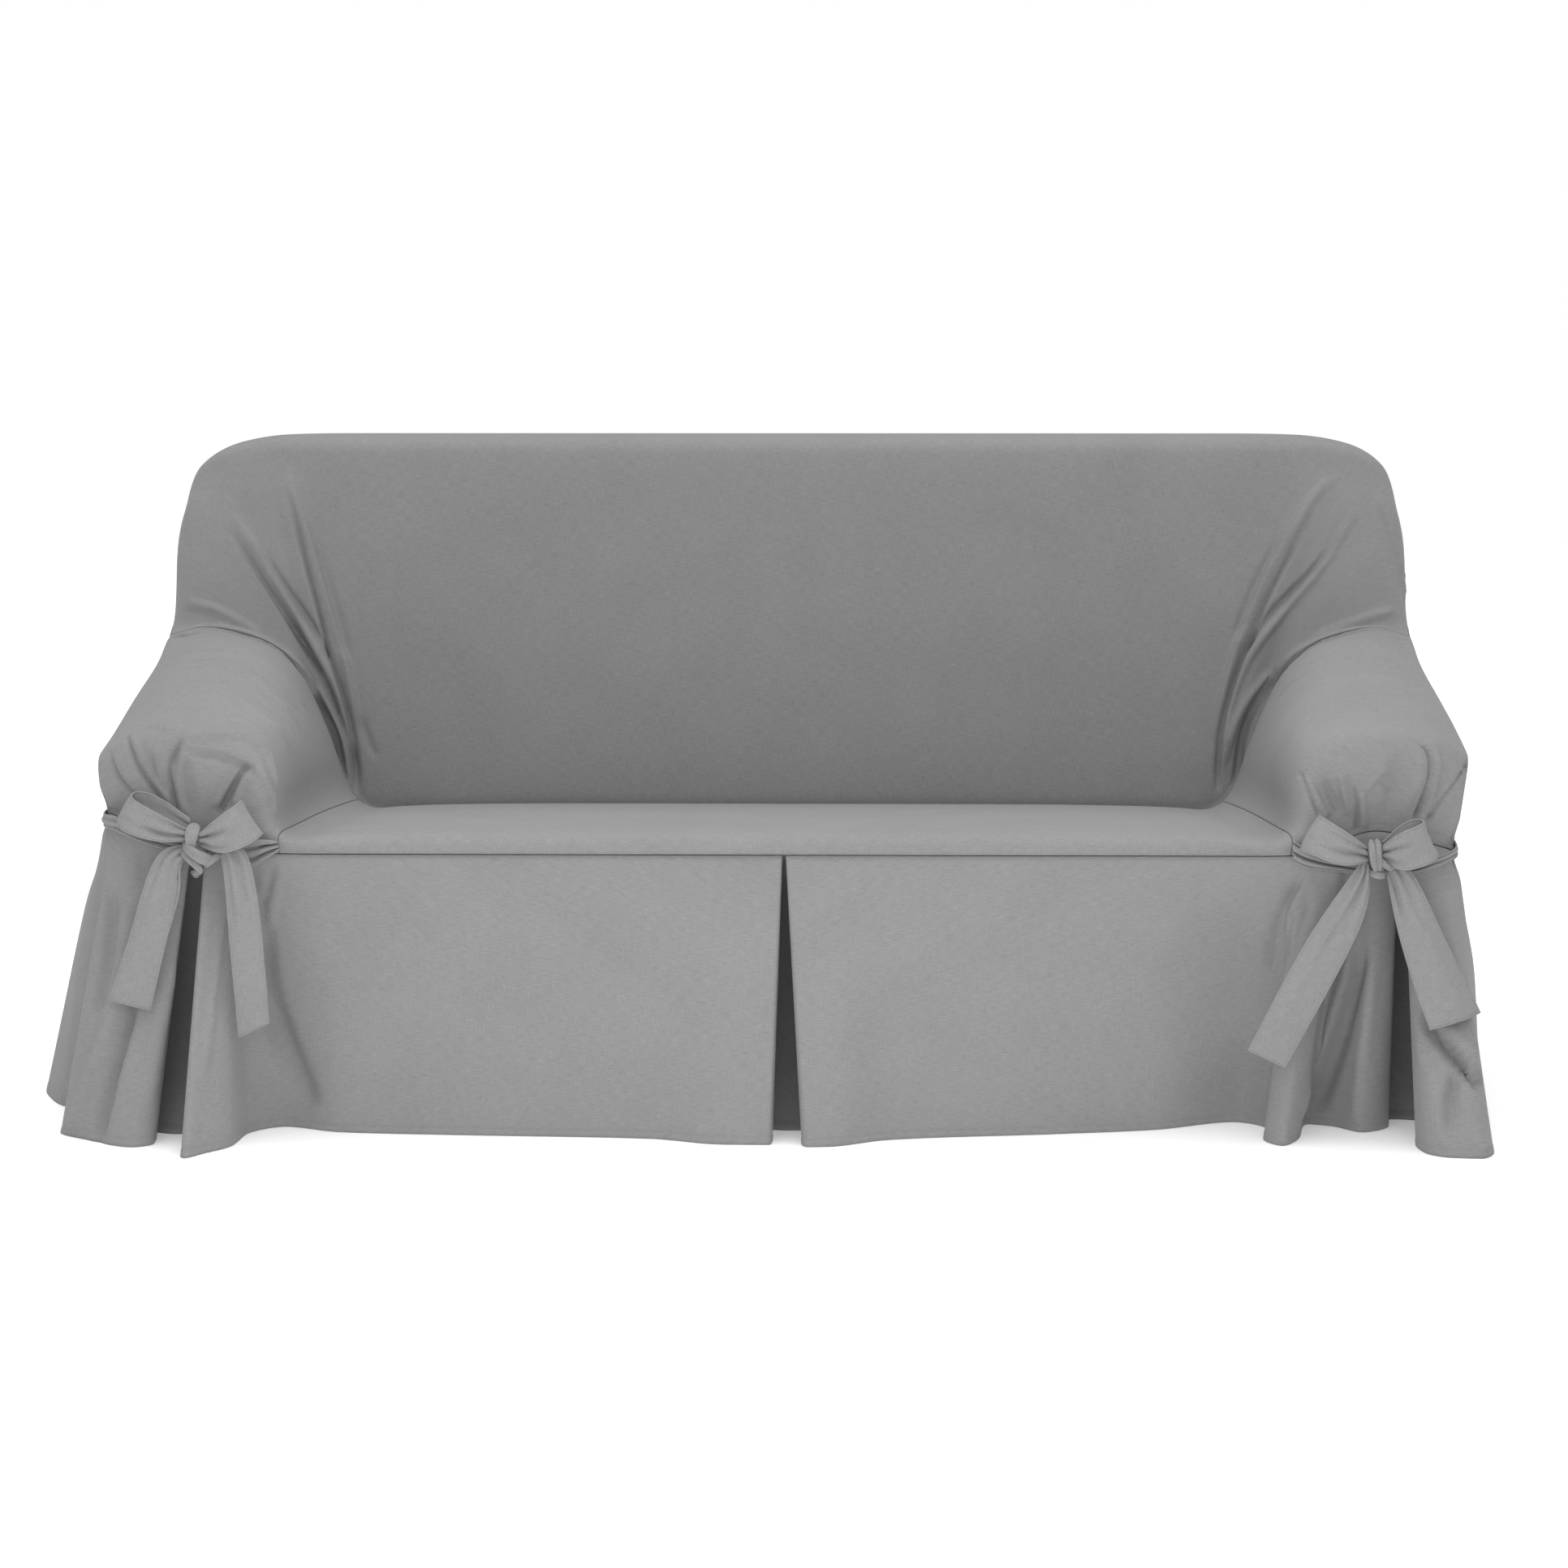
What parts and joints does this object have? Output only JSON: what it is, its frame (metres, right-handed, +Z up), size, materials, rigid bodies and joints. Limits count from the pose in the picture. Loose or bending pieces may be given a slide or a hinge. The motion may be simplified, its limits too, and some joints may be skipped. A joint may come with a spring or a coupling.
{
  "type": "sofa slipcover",
  "caption": "Loose fabric cover for a sofa, hollow and open below, with a pleated front skirt to the floor and a tied bow at each arm front.",
  "frame": {"origin": "on the floor under the middle of the cover", "axes": "+Z up, the front faces -Y, +X to the right as seen from the front"},
  "size_m": [2.1062, 1.058, 0.954],
  "materials": {
    "cover_cloth": "matte plain-weave cotton, mid grey",
    "tie_cloth": "matte plain-weave cotton, mid grey, double layer with stitched edges"
  },
  "bodies": {
    "root": {"seat_and_inside_back": "cover_cloth", "outside_back": "cover_cloth", "arm_cover_left": "cover_cloth", "arm_cover_right": "cover_cloth", "front_skirt": "cover_cloth", "bow_knot_left": "tie_cloth", "tie_outer_run_left": "tie_cloth", "tie_inner_run_left": "tie_cloth", "tie_outer_loop_left": "tie_cloth", "tie_inner_loop_left": "tie_cloth", "tie_outer_tail_left": "tie_cloth", "tie_inner_tail_left": "tie_cloth", "bow_knot_right": "tie_cloth", "tie_outer_run_right": "tie_cloth", "tie_inner_run_right": "tie_cloth", "tie_outer_loop_right": "tie_cloth", "tie_inner_loop_right": "tie_cloth", "tie_outer_tail_right": "tie_cloth", "tie_inner_tail_right": "tie_cloth"}
  },
  "joints": []
}
